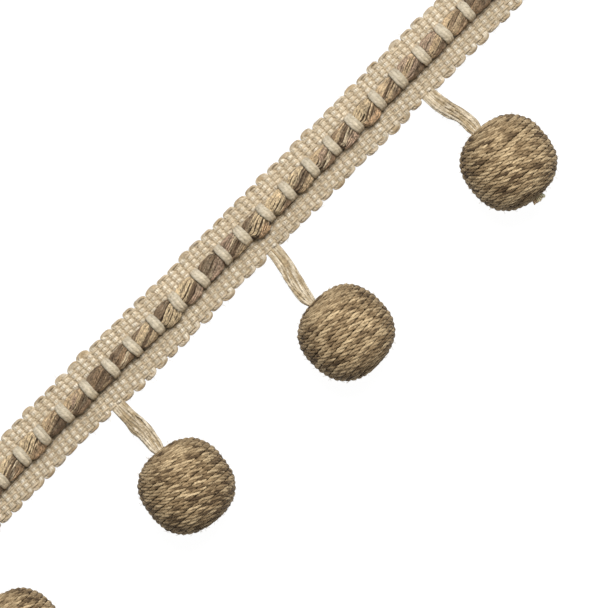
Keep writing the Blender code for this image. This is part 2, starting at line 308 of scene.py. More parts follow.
# The cord's dyes between two catch loops, from -X to +X: the letters of its bands from +Y to -Y,
# with the edge of each two at the segment's middle. What the photograph cuts off goes on alike.
CORD_BANDS = (
    ("T", 1.0, "D"),
    ("D", 0.2, "L", -0.1, "M"),
    ("M", 0.9, "D", -1.0, "T"),
    ("D", 0.9, "G", -1.3, "B"),
    ("G", 0.3, "D"),
    ("G", 0.9, "D", -0.5, "L", -0.8, "B"),
    ("G", 0.2, "T", -0.6, "B"),
    ("T", 1.5, "B", 1.1, "T", 0.5, "D"),
    ("T", 1.2, "M", 0.8, "T", 0.1, "D"),
    ("D", 1.6, "B", 0.4, "D", -1.1, "T", -1.4, "D"),
    ("D", 0.6, "B", -0.3, "L", -0.9, "B"),
    ("D", 1.5, "G", 0.1, "D", -1.1, "T"),
    ("D", 0.5, "G"),
    ("G", 0.2, "D", -0.9, "M"),
    ("D", -0.1, "L", -0.35, "M"),
    ("M", 0.65, "L", 0.4, "D", -1.3, "T"),
    ("D", 1.3, "G", -1.5, "B"),
    ("G", -1.3, "D"),
    ("G", 0.9, "D", -0.8, "T"),
    ("T", 0.9, "M", 0.1, "L", -0.2, "D", -0.9, "L", -1.2, "D"),
    ("B", 1.6, "T", 1.0, "D", -0.4, "L", -0.7, "M"),
    ("G", 0.1, "T", -0.7, "B"),
    ("T", 0.9, "D", -0.1, "T", -0.9, "D"),
    ("M", 1.5, "T", 0.0, "M", -0.7, "D"),
    ("M", 0.6, "T", -0.9, "D"),
    ("T", 1.1, "B", 0.2, "T", -1.0, "B"),
    ("D", 0.9, "B", -0.6, "D"),
    ("G", 0.6, "D", -0.9, "T"),
    ("T", 0.3, "D"),
)

# How far the cord bulges out between two loops, towards +Y and -Y, where the photograph shows it
CORD_BULGES = dict(zip(range(6, 23), (
    (0.3, 0.2), (-0.1, -0.35), (-0.3, 0.2), (0.05, -0.1), (-0.1, -0.45), (-0.4, -0.1), (-0.15, 0.55),
    (0.0, 0.3), (0.0, 0.0), (-0.1, 0.15), (-0.3, 0.9), (-0.45, 0.1), (-0.2, 0.3), (-0.5, 0.3),
    (-0.4, 0.6), (-0.2, 0.6), (-0.4, 0.0))))

# How light the loops' yarn is painted at places across the cord, from -Y to +Y: painted light on the
# foot that lies in shade, painted shade on the upper side
LOOP_TONE_PLACES = (-2.2, -1.5, -0.8, 0.0, 0.8, 1.6)
LOOP_PAINTED_TONES = (1.50, 1.55, 0.98, 0.94, 0.80, 0.72)

# How far each catch loop in the photograph leans along the tape
LOOP_LEAN = dict(zip(range(6, 25), (
    -0.3, -0.35, 0.0, 0.0, -0.25, -0.1, -0.2, 0.25, 0.6, -0.4, -0.3, -0.4, -0.1, -0.4, -0.35, 0.0,
    -0.25, 0.05, 0.0)))


def boundary_x(index):
    """X of the boundary before a pick."""
    return -LENGTH / 2 + index * PICK


def pick_x(index):
    """X of a pick's middle."""
    return boundary_x(index) + PICK / 2


def loop_x(index):
    """X of a catch loop's middle."""
    return pick_x(FIRST_LOOP_PICK + PICKS_A_LOOP * index)


def unit(vectors):
    """Vectors at length one."""
    return vectors / np.maximum(np.linalg.norm(vectors, axis=-1, keepdims=True), 1e-12)


def rise(values, start=0.0, width=1.0):
    """0 up to the start and 1 from a width beyond it, with level ends."""
    t = np.clip((values - start) / width, 0, 1)
    return t * t * (3 - 2 * t)


def signed_power(values, power):
    """A power of the values' size, with their own sign."""
    return np.sign(values) * np.abs(values) ** power


def noise(rng, rows, x, amount, spacing):
    """Smooth random values along x, at most an amount from zero, one row for each strand."""
    place = (np.asarray(x) - np.min(x)) / spacing
    first = np.floor(place).astype(int)
    keys = rng.uniform(-1, 1, (rows, first.max() + 2))
    blend = rise(place - first)
    return amount * (keys[:, first] * (1 - blend) + keys[:, first + 1] * blend)


def mix(first, second, share):
    """Colours between two, by a share of any shape."""
    share = np.asarray(share)[..., None]
    return first * (1 - share) + second * share


def place_piece(mesh, dyes, material):
    """The object of a mesh, with its dyes, material and body."""
    colours = np.ones((len(mesh.vertices), 4))
    colours[:, :3] = np.clip(dyes, 0, 1)
    attribute = mesh.color_attributes.new("dye", "FLOAT_COLOR", "POINT")
    attribute.data.foreach_set("color", colours.ravel())
    mesh.shade_smooth()
    mesh.materials.append(material)
    piece = bpy.data.objects.new(mesh.name, mesh)
    bpy.context.scene.collection.objects.link(piece)
    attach(piece, "root")
    return piece


class Yarns:
    """Tubes that become one mesh, with a coordinate along and around them and a dye colour."""

    def __init__(self):
        self.points, self.dyes, self.corners, self.maps, self.totals = [], [], [], [], []
        self.count = 0

    def add(self, lines, wide, high, dye, sides, hint=ABOVE, groove=0.0):
        """Tubes along lines of shape (strands, steps, 3), flattened across the hint direction.

        Their flanks and underside are dyed darker than their ridge by the last argument's share: a
        painted shade for the grooves between yarns.
        """
        strands, steps, _ = lines.shape
        wide = np.broadcast_to(wide, (strands, steps))[..., None, None]
        high = np.broadcast_to(high, (strands, steps))[..., None, None]
        dye = np.broadcast_to(dye, (strands, steps, 3))
        ahead = unit(np.gradient(lines, axis=1))
        side = unit(np.cross(ahead, np.broadcast_to(hint, lines.shape)))
        down = np.cross(ahead, side)
        turn = 2 * np.pi * np.arange(sides) / sides - np.pi / 2
        across = side[:, :, None] * np.cos(turn)[:, None] * wide
        downward = down[:, :, None] * np.sin(turn)[:, None] * high
        self.points.append((lines[:, :, None] + across + downward).reshape(-1, 3))
        # painted shade: the flanks and underside darker than the ridge
        flank_shading = 1 - groove * np.minimum(1, 1 + np.sin(turn))
        self.dyes.append((dye.reshape(-1, 1, 3) * flank_shading[:, None]).reshape(-1, 3))

        index = self.count + np.arange(strands * steps * sides).reshape(strands, steps, sides)
        self.count += index.size
        near, far = index[:, :-1], index[:, 1:]
        corners = [near, np.roll(near, -1, axis=2), np.roll(far, -1, axis=2), far]
        self.corners.append(np.stack(corners, axis=-1).reshape(-1))
        self.totals.append(np.full(near.size, 4))

        gaps = np.linalg.norm(np.diff(lines, axis=1), axis=2)
        along = np.concatenate([np.zeros((strands, 1)), np.cumsum(gaps, axis=1)], axis=1)
        start = np.broadcast_to(along[:, :-1, None], near.shape)
        end = np.broadcast_to(along[:, 1:, None], near.shape)
        left = np.broadcast_to(np.arange(sides) / sides, near.shape)
        right = left + 1 / sides
        places = ((start, left), (start, right), (end, right), (end, left))
        places = [np.stack(pair, axis=-1) for pair in places]
        self.maps.append(np.stack(places, axis=-2).reshape(-1, 2))

        for ring, place in ((index[:, 0, ::-1], along[:, 0]), (index[:, -1], along[:, -1])):
            self.corners.append(ring.reshape(-1))
            self.totals.append(np.full(strands, sides))
            ends = np.stack([np.repeat(place, sides), np.tile(turn / 7, strands)], axis=-1)
            self.maps.append(ends)

    def build(self, name, material, slot):
        """The object that holds all the tubes."""
        mesh = bpy.data.meshes.new(name)
        points = np.concatenate(self.points) * MM
        corners = np.concatenate(self.corners)
        totals = np.concatenate(self.totals)
        mesh.vertices.add(len(points))
        mesh.vertices.foreach_set("co", points.ravel())
        mesh.loops.add(len(corners))
        mesh.loops.foreach_set("vertex_index", corners)
        mesh.polygons.add(len(totals))
        mesh.polygons.foreach_set("loop_start", np.concatenate([[0], np.cumsum(totals)[:-1]]))
        mesh.update(calc_edges=True)
        mesh.uv_layers.new(name="yarn").data.foreach_set("uv", np.concatenate(self.maps).ravel())
        return place_piece(mesh, np.concatenate(self.dyes), material)


def yarn_material(name, twist_pitch, plies, fibres, contrast, twist_depth, gloss, slubs):
    """Matt yarn: its dye, fibres that follow the twist, and the twist's own relief."""
    material = bpy.data.materials.new(name)
    material.use_nodes = True
    nodes, links = material.node_tree.nodes, material.node_tree.links
    shader = nodes["Principled BSDF"]
    shader.inputs["Roughness"].default_value = 0.88 - gloss / 2
    shader.inputs["Specular IOR Level"].default_value = gloss

    def new(kind, **settings):
        node = nodes.new(kind)
        for key, value in settings.items():
            setattr(node, key, value)
        return node

    def math_node(operation, *values):
        node = new("ShaderNodeMath", operation=operation)
        for socket, value in zip(node.inputs, values):
            if isinstance(value, (int, float)):
                socket.default_value = value
            else:
                links.new(value, socket)
        return node.outputs[0]

    def noise_node(place, scale):
        node = new("ShaderNodeTexNoise")
        node.inputs["Scale"].default_value = scale
        node.inputs["Detail"].default_value = 3.0
        links.new(place, node.inputs["Vector"])
        return math_node("MULTIPLY", node.outputs[0], 0.5)

    split = new("ShaderNodeSeparateXYZ")
    links.new(new("ShaderNodeUVMap", uv_map="yarn").outputs[0], split.inputs[0])
    along, around = split.outputs[0], split.outputs[1]
    turns = math_node("DIVIDE", along, twist_pitch)
    phase = math_node("ADD", math_node("MULTIPLY", around, plies), turns)
    wave = math_node("SINE", math_node("MULTIPLY", phase, 2 * math.pi))

    fibre_place = new("ShaderNodeCombineXYZ")
    links.new(math_node("MULTIPLY", along, 0.55), fibre_place.inputs[0])
    links.new(math_node("MULTIPLY", phase, fibres / plies), fibre_place.inputs[1])
    fibre = noise_node(fibre_place.outputs[0], 1.0)
    slub = noise_node(new("ShaderNodeTexCoord").outputs["Object"], slubs)
    spread = math_node("ADD", fibre, slub)

    ramp = new("ShaderNodeValToRGB")
    shade, light = ramp.color_ramp.elements
    shade.position, light.position = 0.38, 0.62
    shade.color = [(1 - contrast) * share for share in (1.0, 0.97, 0.92)] + [1]
    light.color = (1, 1, 1, 1)
    links.new(spread, ramp.inputs[0])
    tint = new("ShaderNodeMix", data_type="RGBA", blend_type="MULTIPLY")
    tint.inputs[0].default_value = 1.0
    links.new(new("ShaderNodeVertexColor", layer_name="dye").outputs[0], tint.inputs[6])
    links.new(ramp.outputs[0], tint.inputs[7])
    links.new(tint.outputs[2], shader.inputs["Base Color"])

    bump = new("ShaderNodeBump")
    bump.inputs["Strength"].default_value = 0.7
    bump.inputs["Distance"].default_value = 0.09 * MM
    relief = math_node("ADD", math_node("MULTIPLY", wave, twist_depth), spread)
    links.new(relief, bump.inputs["Height"])
    links.new(bump.outputs[0], shader.inputs["Normal"])
    return material


def add_fuzz(yarns, rng, roots, outward, length, dye):
    """Stray fibres: short curved hairs that leave the yarns."""
    t = np.linspace(0, 1, num=5)[None, :, None]
    heading = unit(outward + FUZZ_SCATTER * unit(rng.normal(size=roots.shape)))[:, None]
    bend = unit(rng.normal(size=roots.shape))[:, None]
    reach = length * rng.uniform(0.5, 1.0, (len(roots), 1, 1))
    lines = roots[:, None] + reach * (heading * t + FUZZ_BEND * bend * t ** 2)
    lines[..., 2] = np.maximum(lines[..., 2], FUZZ_RADIUS)
    yarns.add(lines, FUZZ_RADIUS, FUZZ_RADIUS, dye, sides=3)


def wander(x):
    """How far the tape's middle strays sideways."""
    return np.interp(x, STRAY_PLACES, STRAYS)


def skew(x, y):
    """How far the picks lean along the tape: the upper band is ahead, but not at the cut ends."""
    lean = PICK_LEAN - PICK_LEAN_LOSS * np.clip((PICK_LEAN_TOP - y) / PICK_LEAN_RUN, 0, 1)
    return lean * rise(LENGTH / 2 - np.abs(x), width=8.0)


def place_on_tape(lines):
    """Lines of the straight grid, moved by the tape's own unevenness."""
    x, y = lines[..., 0], lines[..., 1]
    moved = lines.copy()
    moved[..., 0] += skew(x, y)
    moved[..., 1] += wander(x) - LOW_EDGE_OUT * rise(-y, start=3.8, width=2.0)
    moved[..., 1] += BROAD_OUT * np.exp(-((x - BROAD_PLACE) / BROAD_SPAN) ** 2) * y / EDGE_Y
    return moved


def ground_z(y):
    """Height of the cloth's middle, and 1 in the channel under the cord."""
    inside = rise(CHANNEL_HALF - np.abs(y - CORD_Y), width=0.8)
    return GROUND_Z - CHANNEL_DROP * inside, inside


def catch_run():
    """Y and lift along a pick that passes over the cord, from -Y to +Y."""
    straight = (RUN_STEPS - ARCH_STEPS) // 2
    low_y = np.linspace(-RUN_END, CORD_Y - ARCH_HALF, straight, endpoint=False)
    high_y = np.linspace(RUN_END, CORD_Y + ARCH_UPPER_HALF, straight, endpoint=False)[::-1]
    angle = np.linspace(np.pi, 0, ARCH_STEPS)
    power = 2 / ARCH_SQUARENESS
    half = np.where(np.cos(angle) > 0, ARCH_UPPER_HALF, ARCH_HALF)
    arch_y = CORD_Y + half * signed_power(np.cos(angle), power)
    lift = np.zeros(RUN_STEPS)
    lift[straight:straight + ARCH_STEPS] = np.abs(np.sin(angle)) ** power
    return np.concatenate([low_y, arch_y, high_y]), lift


def pick_strands(pick, order, rng):
    """Lines of a pick's three strands from -Y to +Y, how light they are painted, and their lift to a
    loop.
    """
    lean = 0.0
    y, lift = np.linspace(-RUN_END, RUN_END, RUN_STEPS), np.zeros(RUN_STEPS)
    if pick % PICKS_A_LOOP == FIRST_LOOP_PICK:
        y, lift = catch_run()
        guess = rng.uniform(-0.25, 0.25)
        lean = LOOP_LEAN.get((pick - FIRST_LOOP_PICK) // PICKS_A_LOOP, guess)
    middle, inside = ground_z(y)
    sign = 1.0 if pick % 2 == 0 else -1.0
    wave = sign * np.cos(np.pi * y / WARP_PITCH)
    shine = noise(rng, 1, y, amount=1, spacing=WARP_PITCH * 2)[0]
    z = middle + WEFT_WAVE * (1 + WAVE_SPREAD * shine) * (1 - CHANNEL_CALM * inside) * wave
    z = z + (ARCH_TOP + rng.uniform(-0.12, 0.12) - z) * lift

    spread = PICK_SPREAD - CREST_PINCH * wave + noise(rng, 1, y, amount=0.12, spacing=2.5)[0]
    half = np.where(y > CORD_Y, ARCH_UPPER_HALF, ARCH_HALF)
    barrel = np.cos(np.pi / 2 * np.clip((y - CORD_Y) / half, -1, 1)) ** LOOP_BARREL
    loop_spread = ARCH_SPREAD * rng.uniform(0.85, 1.15)
    spread = spread + (loop_spread - spread) * barrel * (lift > 0)
    roll = noise(rng, 1, y, amount=0.4, spacing=2.2)[0]
    centre = pick_x(pick) + noise(rng, 1, y, amount=0.15, spacing=1.7)[0]
    centre = centre + lean * np.exp(-((y - CORD_Y) / LOOP_LEAN_REACH) ** 4)
    place = order[:, None]
    x = centre + place * STRAND_GAP * spread * np.cos(roll)
    crest = 0.5 + 0.5 * wave
    crown = STRAND_CROWN * (0.5 - np.abs(place)) * np.maximum(crest * (1 - lift), LOOP_CROWN * lift)
    height = z + place * STRAND_GAP * ROLL_RISE * np.sin(roll) * (1 - lift) + crown
    lines = np.stack([x, np.broadcast_to(y, x.shape), height], axis=-1)
    # painted highlight on the crests, painted shade beside them and on the outer strands
    light = crest ** PAINTED_SHADE_POWER * (PAINTED_CREST_LIGHT + PAINTED_CREST_SHINE * shine)
    light = np.clip(light * (1 - OUTER_PAINTED_SHADE * np.abs(place)), 0, 1)
    return lines, light, np.broadcast_to(lift, x.shape)


def turn_strands(start, end, order, twisted, rng):
    """Lines of the three strands round a picot, from the end of one pick to the start of the next."""
    angle = np.linspace(np.pi, 0, TURN_STEPS + 2)[1:-1]
    power = 2 / TURN_SQUARENESS
    across = TURN_FLARE * signed_power(np.cos(angle), power)
    out = np.abs(np.sin(angle)) ** power
    share = 1 - angle / np.pi
    half = (end[:, :1] - start[:, :1]) / 2
    centre = (end[:, :1] + start[:, :1]) / 2
    reach = TWISTED_REACH if twisted else TURN_REACH + TURN_REACH_SHARE * half
    reach = reach * (1 + rng.uniform(-0.45, 0.20))
    turn = np.empty((len(order), TURN_STEPS, 3))
    turn[..., 0] = centre + half * across + rng.uniform(-0.3, 0.3) * out
    turn[..., 1] = np.sign(start[0, 1]) * (RUN_END + reach * out)
    turn[..., 2] = start[:, 2:] * (1 - share) + end[:, 2:] * share
    height = TWISTED_STACK * STRAND_GAP * order[:, None] if twisted else TURN_FALL * (PICK / 2 - half)
    height = height + rng.uniform(-0.1, 0.1)
    turn[..., 2] += height * np.sin(np.pi * share)
    return turn, np.broadcast_to(out, (len(order), TURN_STEPS))


def weft_group(rng, first, last):
    """The three strands that weave the picks from first up to last: lines, lightness, picot, lift."""
    order = np.array([-1.0, 0.0, 1.0])
    share_of_turn = np.linspace(0, 1, TURN_STEPS)
    parts = []
    for pick in range(first, last):
        run, light, lift = pick_strands(pick, order, rng)
        if pick % 2:
            run, light, lift = run[:, ::-1], light[:, ::-1], lift[:, ::-1]
        if parts:
            turn, out = turn_strands(parts[-1][0][:, -1], run[:, 0], order, twisted, rng)
            glow = np.clip(TURN_LIGHT + noise(rng, 3, share_of_turn, amount=0.5, spacing=0.5), 0, 1)
            parts.append((turn, glow, out, np.zeros(out.shape)))
        parts.append((run, light, np.zeros(light.shape), lift))
        twisted = rng.random() < TWISTED_SHARE
        if not twisted:
            order = -order
    return [np.concatenate(columns, axis=1) for columns in zip(*parts)]


def weft_dye(rng, y, light, picot, lift):
    """Colours of the weft: a painted highlight on its crests and painted shade beside them, tan round
    the picots, cream in the loops, and painted light and shade across the loops and the tape's bands.
    """
    steps = np.arange(y.shape[1])
    dye = mix(WEFT_SHADE, WEFT_LIGHT, light)
    dye = mix(dye, mix(PICOT_TAN, WEFT_LIGHT, PICOT_LIGHT * light), picot)
    loop_painted_tone = np.interp(y - CORD_Y, LOOP_TONE_PLACES, LOOP_PAINTED_TONES)
    loop_painted_tone = loop_painted_tone * np.array(LOOP_STRAND_PAINTED_TONES)[:, None]
    # painted shade at a loop's lower end, passing to cream at its top
    height = rise(y - CORD_Y, start=-1.6, width=3.2)
    dye = mix(dye, mix(LOOP_SHADE, LOOP_CREAM, height) * loop_painted_tone[..., None], lift)
    dye = dye * (1 + noise(rng, 3, steps, amount=0.09, spacing=8)[..., None])
    dye = dye * (1 + noise(rng, 1, steps, amount=0.04, spacing=70)[..., None])
    # painted shade: the lower band darker, most in its valleys; the upper band's crests darker against
    # their highlight
    low = rise(-y, start=0.5, width=2.0)
    high = rise(y, start=2.0, width=2.0)
    tone = MIDDLE_TONE - low * (LOW_PAINTED_SHADE + LOW_VALLEYS_PAINTED_SHADE * (1 - light) * (1 - picot))
    tone = tone + high * (HIGH_LIGHTER - HIGH_CRESTS_PAINTED_SHADE * light - HIGH_PICOTS_DARKER * picot)
    return dye * WEFT_TONE * tone[..., None]


def root_boundaries():
    """Pick boundaries that the hangers leave from."""
    return [FIRST_ROOT_PICK + PICKS_A_BEAD * i for i in range(len(BEADS))]


def make_weft(material):
    """The weft, in pieces that each stay a moderate mesh."""
    edges = [0] + root_boundaries() + [PICK_COUNT]
    rng = np.random.default_rng(11)
    pieces = [Yarns() for _ in range(WEFT_PIECES)]
    for first, last in zip(edges, edges[1:]):
        lines, light, picot, lift = weft_group(rng, first, last)
        dye = weft_dye(rng, lines[..., 1], light, picot, lift)
        wide = STRAND_WIDE + LOOP_WIDER * lift + PICOT_WIDER * picot
        wide = wide + noise(rng, 3, np.arange(lines.shape[1]), amount=0.03, spacing=7)
        middle = (first + last) / 2 / PICK_COUNT
        target = pieces[min(WEFT_PIECES - 1, int(WEFT_PIECES * middle))]
        lines = place_on_tape(lines)
        target.add(lines, wide, STRAND_HIGH, dye, sides=6, groove=0.14)
        roots = rng.choice(lines.reshape(-1, 3), TAPE_FUZZ_A_PICK * (last - first))
        away = roots * (0, 1 / EDGE_Y, 0) + TAPE_FUZZ_RISE * ABOVE
        roots = roots + TAPE_FUZZ_OFFSET * away
        add_fuzz(target, rng, roots, away, length=1.4, dye=WEFT_LIGHT)
    return [group.build(f"weft_{i + 1}", material, "tape_yarn") for i, group in enumerate(pieces)]


def make_warp(material):
    """The fine threads along the tape."""
    rng = np.random.default_rng(12)
    numbers = np.arange(-WARP_REACH, WARP_REACH + 1)
    x = np.arange(-LENGTH / 2, LENGTH / 2 + 0.01, WARP_STEP)
    y = numbers[:, None] * WARP_PITCH + noise(rng, len(numbers), x, amount=0.05, spacing=5)
    middle, inside = ground_z(numbers[:, None] * WARP_PITCH)
    swing = signed_power(np.cos(np.pi * (x - pick_x(0)) / PICK), WARP_WAVE_POWER)
    swing = np.where(numbers % 2 == 0, -1.0, 1.0)[:, None] * swing
    z = middle + WARP_WAVE * (1 - CHANNEL_CALM * inside) * swing
    lines = np.stack([np.broadcast_to(x, y.shape), y, z], axis=-1)
    # painted shade: the warps darker where they dip under the weft
    dye = mix(SHADE_TAN, WARP_TAN, (swing + 1) / 2)
    dye = dye * (1 + noise(rng, len(numbers), x, amount=0.06, spacing=2.5)[..., None])
    yarns = Yarns()
    yarns.add(place_on_tape(lines), WARP_RADIUS, WARP_RADIUS * WARP_FLATNESS, dye, sides=5)
    return yarns.build("warp", material, "tape_yarn")


def make_ground(material):
    """The thin cloth in the middle of the weave, which closes the pinholes between its yarns.

    Each edge has a scallop inside its picots, by turns with those of the other edge. Its darker tan is
    a painted shade for the depths between the yarns.
    """
    columns = PICK_COUNT * GROUND_STEPS_A_PICK - 1
    x = boundary_x(np.arange(1, columns + 1) / GROUND_STEPS_A_PICK)
    y = np.linspace(-GROUND_EDGE, GROUND_EDGE, num=12)
    grid_x, grid_y = np.meshgrid(x, y, indexing="ij")
    for row, side, shift in ((0, -1, 0.0), (-1, 1, 0.5)):
        picot = (x + LENGTH / 2) / (2 * PICK) + shift
        distance = np.abs(picot - np.round(picot)) * 2 * PICK
        grid_y[:, row] += side * GROUND_SCALLOP * rise(0.95 - distance, width=0.5)
    middle, _ = ground_z(grid_y)
    points = []
    for lift in (0.14, -0.14):
        layer = np.stack([grid_x, grid_y, middle + lift], axis=-1)
        points.append(place_on_tape(layer).reshape(-1, 3))
    points = np.concatenate(points) * MM
    index = np.arange(grid_x.size).reshape(grid_x.shape)
    near, far = index[:-1], index[1:]
    quads = np.stack([near[:, :-1], far[:, :-1], far[:, 1:], near[:, 1:]], axis=-1).reshape(-1, 4)
    faces = [*quads, *(quads[:, ::-1] + index.size)]
    rim = np.concatenate([index[:, 0], index[-1, 1:], index[-2::-1, -1], index[0, -2:0:-1]])
    faces += [(a, a + index.size, b + index.size, b) for a, b in zip(rim, np.roll(rim, -1))]
    mesh = bpy.data.meshes.new("tape_ground")
    mesh.from_pydata(points.tolist(), [], [tuple(int(i) for i in face) for face in faces])
    mesh.uv_layers.new(name="yarn")
    ground = place_piece(mesh, SHADE_TAN, material)
    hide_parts("tape")
    return ground


def cord_segment(x):
    """Number of the cord's segment at x, between two catch loops, and how far along it x lies."""
    place = (x - skew(x, 0) - loop_x(0)) / LOOP_PITCH + 1
    number = np.floor(place).astype(int)
    return number, place - number


def cord_pinch(x):
    """1 under a catch loop and 0 halfway between two."""
    _, share = cord_segment(x)
    distance = np.minimum(share, 1 - share) * LOOP_PITCH
    return 1 - rise(distance, start=0.30, width=1.75)


def cord_bulges(x):
    """How far the cord bulges out at x, towards +Y and towards -Y."""
    numbers, share = cord_segment(x)
    belly = rise(1.5 - 1.5 * np.abs(2 * share - 1))
    return np.array([CORD_BULGES.get(number, (0.0, 0.0)) for number in numbers]) * belly[:, None]


def cord_rings():
    """X of the rings of points along the cord."""
    loops = loop_x(np.arange(-1, PICK_COUNT // PICKS_A_LOOP + 1))
    x = (loops[:, None] + np.array(CORD_RINGS)).ravel()
    return np.concatenate([[-CORD_END], x[np.abs(x) < CORD_END - RING_GAP], [CORD_END]])


def band_dye(x, y):
    """The dye of a point on the cord's upper side, from the bands of its segment."""
    number, share = cord_segment(x)
    number = np.clip(number, 0, len(CORD_BANDS) - 1)
    blend = rise(np.abs(share - 0.5), start=0.36, width=0.14) / 2
    other = np.clip(np.where(share > 0.5, number + 1, number - 1), 0, len(CORD_BANDS) - 1)
    slope = 2 * np.pi * CORD_HALF_WIDTH / CORD_LAY
    colours = []
    for numbers in (number, other):
        middle = loop_x(0) + (numbers - 0.5) * LOOP_PITCH + skew(x, 0)
        level = y - slope * (x - middle)
        colour = np.zeros(x.shape + (3,))
        for segment, bands in enumerate(CORD_BANDS):
            here = numbers == segment
            colour[here] = DYES[bands[0]]
            for edge, letter in zip(bands[1::2], bands[2::2]):
                below = rise((edge - level[here]) / BAND_BLUR + 0.5)
                colour[here] = mix(colour[here], DYES[letter], below)
        colours.append(colour)
    return mix(colours[0], colours[1], blend)


def cord_dye(rng, x, y, angle, pinch):
    """Colours of the cord's strands: their bands, their own tones, light streaks, and painted light on
    the lower flank, which lies in shade.
    """
    count = len(y)
    own = 0.22 * rng.uniform(-1, 1, (count, 1)) + noise(rng, count, x, amount=0.25, spacing=4)
    level = np.where(np.sin(angle) > UNDERSIDE_SINE, y, UNDERSIDE_MIRROR - y) + own
    level = level + noise(rng, count, x, amount=0.12, spacing=1.2)
    dye = band_dye(np.broadcast_to(x, y.shape), level)
    tone = 0.24 * rng.uniform(-1, 1, (count, 1)) + noise(rng, count, x, amount=0.24, spacing=6)
    tone = CORD_TONE + tone + noise(rng, count, x, amount=0.24, spacing=1.2)
    # painted light on the lower flank, which lies in shade
    flank = rise(CORD_Y - y, start=1.15, width=1.0)
    tone = tone + (PAINTED_FLANK_LIGHT + PAINTED_NECK_LIGHT * pinch) * flank
    dye = mix(dye * tone[..., None], DYES["T"], HAZE * (1 + noise(rng, count, x, amount=1, spacing=6)))
    streak = np.clip(noise(rng, count, x, amount=1, spacing=2.5) - STREAK_LEVEL, 0, 1)
    dye = mix(dye, DYES["L"], STREAK_SHARE * streak)
    return dye / np.maximum(1, dye.max(axis=-1, keepdims=True) / CORD_LIGHTEST)


def add_cord_core(yarns, x, width, flat, bulges):
    """The dark body that closes the gaps between the cord's strands, dyed darker than the darkest band:
    a painted shade for the depths between them.
    """
    height = (CORD_UPPER + CORD_LOWER) / 2 * flat
    core_x = np.clip(x, -CORD_END + CORE_INSET, CORD_END - CORE_INSET)
    core_y = CORD_Y + wander(x) + (bulges[:, 0] - bulges[:, 1]) / 2
    core = np.stack([core_x, core_y, CORD_BOTTOM + height], axis=-1)[None, 1:-1]
    wide = (width + bulges.sum(axis=1) / 2 - CORE_INSET)[1:-1]
    # painted shade: darker than the darkest band
    yarns.add(core, wide, height[1:-1] - CORE_INSET, DYES["D"] * 0.7, sides=12)


def add_cut_ends(yarns, sideways):
    """The ends of the strands inside the cord, spread evenly over its two cut faces."""
    rng = np.random.default_rng(14)
    number = np.arange(CUT_STRANDS)[:, None]
    out = np.sqrt((number + 0.5) / CUT_STRANDS)
    angle = number * GOLDEN_ANGLE
    y = CORD_Y + (CORD_HALF_WIDTH - CUT_INSET) * out * np.cos(angle)
    half_height = (CORD_UPPER + CORD_LOWER) / 2
    z = CORD_BOTTOM + half_height + (half_height - CUT_INSET) * out * np.sin(angle)
    letters = rng.choice(list("GTMBD"), CUT_STRANDS)
    dye = np.array([DYES[letter] for letter in letters])[:, None] * 1.2
    for end, shift in zip((-1, 1), sideways):
        uneven = 0.1 * rng.uniform(-1, 0, (CUT_STRANDS, 1))
        x = end * (CORD_END + np.array([-1.2, -0.6, 0.0]) + uneven)
        lines = np.stack(np.broadcast_arrays(x, y + shift, z), axis=-1)
        yarns.add(lines, CUT_RADIUS, CUT_RADIUS, dye, sides=6)


def make_cord(material):
    """The inlaid roving: loose strands laid round an oval that is drawn in under each loop."""
    rng = np.random.default_rng(13)
    x = cord_rings()
    count = CORD_STRANDS
    angle = 2 * np.pi * (np.arange(count)[:, None] / count - x / CORD_LAY)
    angle = angle + noise(rng, count, x, amount=0.07, spacing=6)
    angle = angle + noise(rng, count, x, amount=0.06, spacing=1.2)
    pinch = cord_pinch(x)
    bulges = cord_bulges(x)
    width = CORD_HALF_WIDTH * (1 - (1 - CORD_NECK) * pinch)
    flat = 1 - (1 - CORD_NECK_HEIGHT) * pinch
    swell = 1 + noise(rng, 1, x, amount=0.04, spacing=LOOP_PITCH)[0]
    inset = CORD_STRAND_RADIUS + CORD_DEPTH + noise(rng, count, x, amount=CORD_DEPTH, spacing=3)
    reach = width * swell - inset + np.where(np.cos(angle) > 0, bulges[:, 0], bulges[:, 1])
    power = np.where(np.sin(angle) < 0, UNDERSIDE_POWER, 1)
    y = CORD_Y + reach * signed_power(np.cos(angle), power)
    height = np.where(np.sin(angle) > 0, CORD_UPPER, CORD_LOWER) * flat - inset
    z = CORD_BOTTOM + CORD_LOWER * flat + height * np.sin(angle)
    dye = cord_dye(rng, x, y, angle, pinch)
    lines = np.stack([np.broadcast_to(x, y.shape), y + wander(x), z], axis=-1)
    radius = CORD_STRAND_RADIUS * (1 + noise(rng, count, x, amount=0.10, spacing=5))
    outward = np.stack([np.zeros(y.shape), np.cos(angle), np.sin(angle)], axis=-1)
    yarns = Yarns()
    yarns.add(lines, radius, radius, dye, sides=5, hint=outward, groove=0.24)
    add_cord_core(yarns, x, width, flat, bulges)
    upper = np.flatnonzero(np.sin(angle).ravel() > CORD_FUZZ_SIDE)
    chosen = rng.choice(upper, size=420)
    away = outward.reshape(-1, 3)[chosen]
    roots = lines.reshape(-1, 3)[chosen] + CORD_STRAND_RADIUS * away
    heading = CORD_FUZZ_OUT * away + np.array([CORD_FUZZ_AHEAD, 0.0, 0.0])
    fuzz_dye = dye.reshape(-1, 3)[chosen][:, None] * 1.2
    add_fuzz(yarns, rng, roots, heading, length=1.6, dye=fuzz_dye)
    add_cut_ends(yarns, wander(x)[[0, -1]])
    cord = yarns.build("cord", material, "cord_yarn")
    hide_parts("inlay_cord")


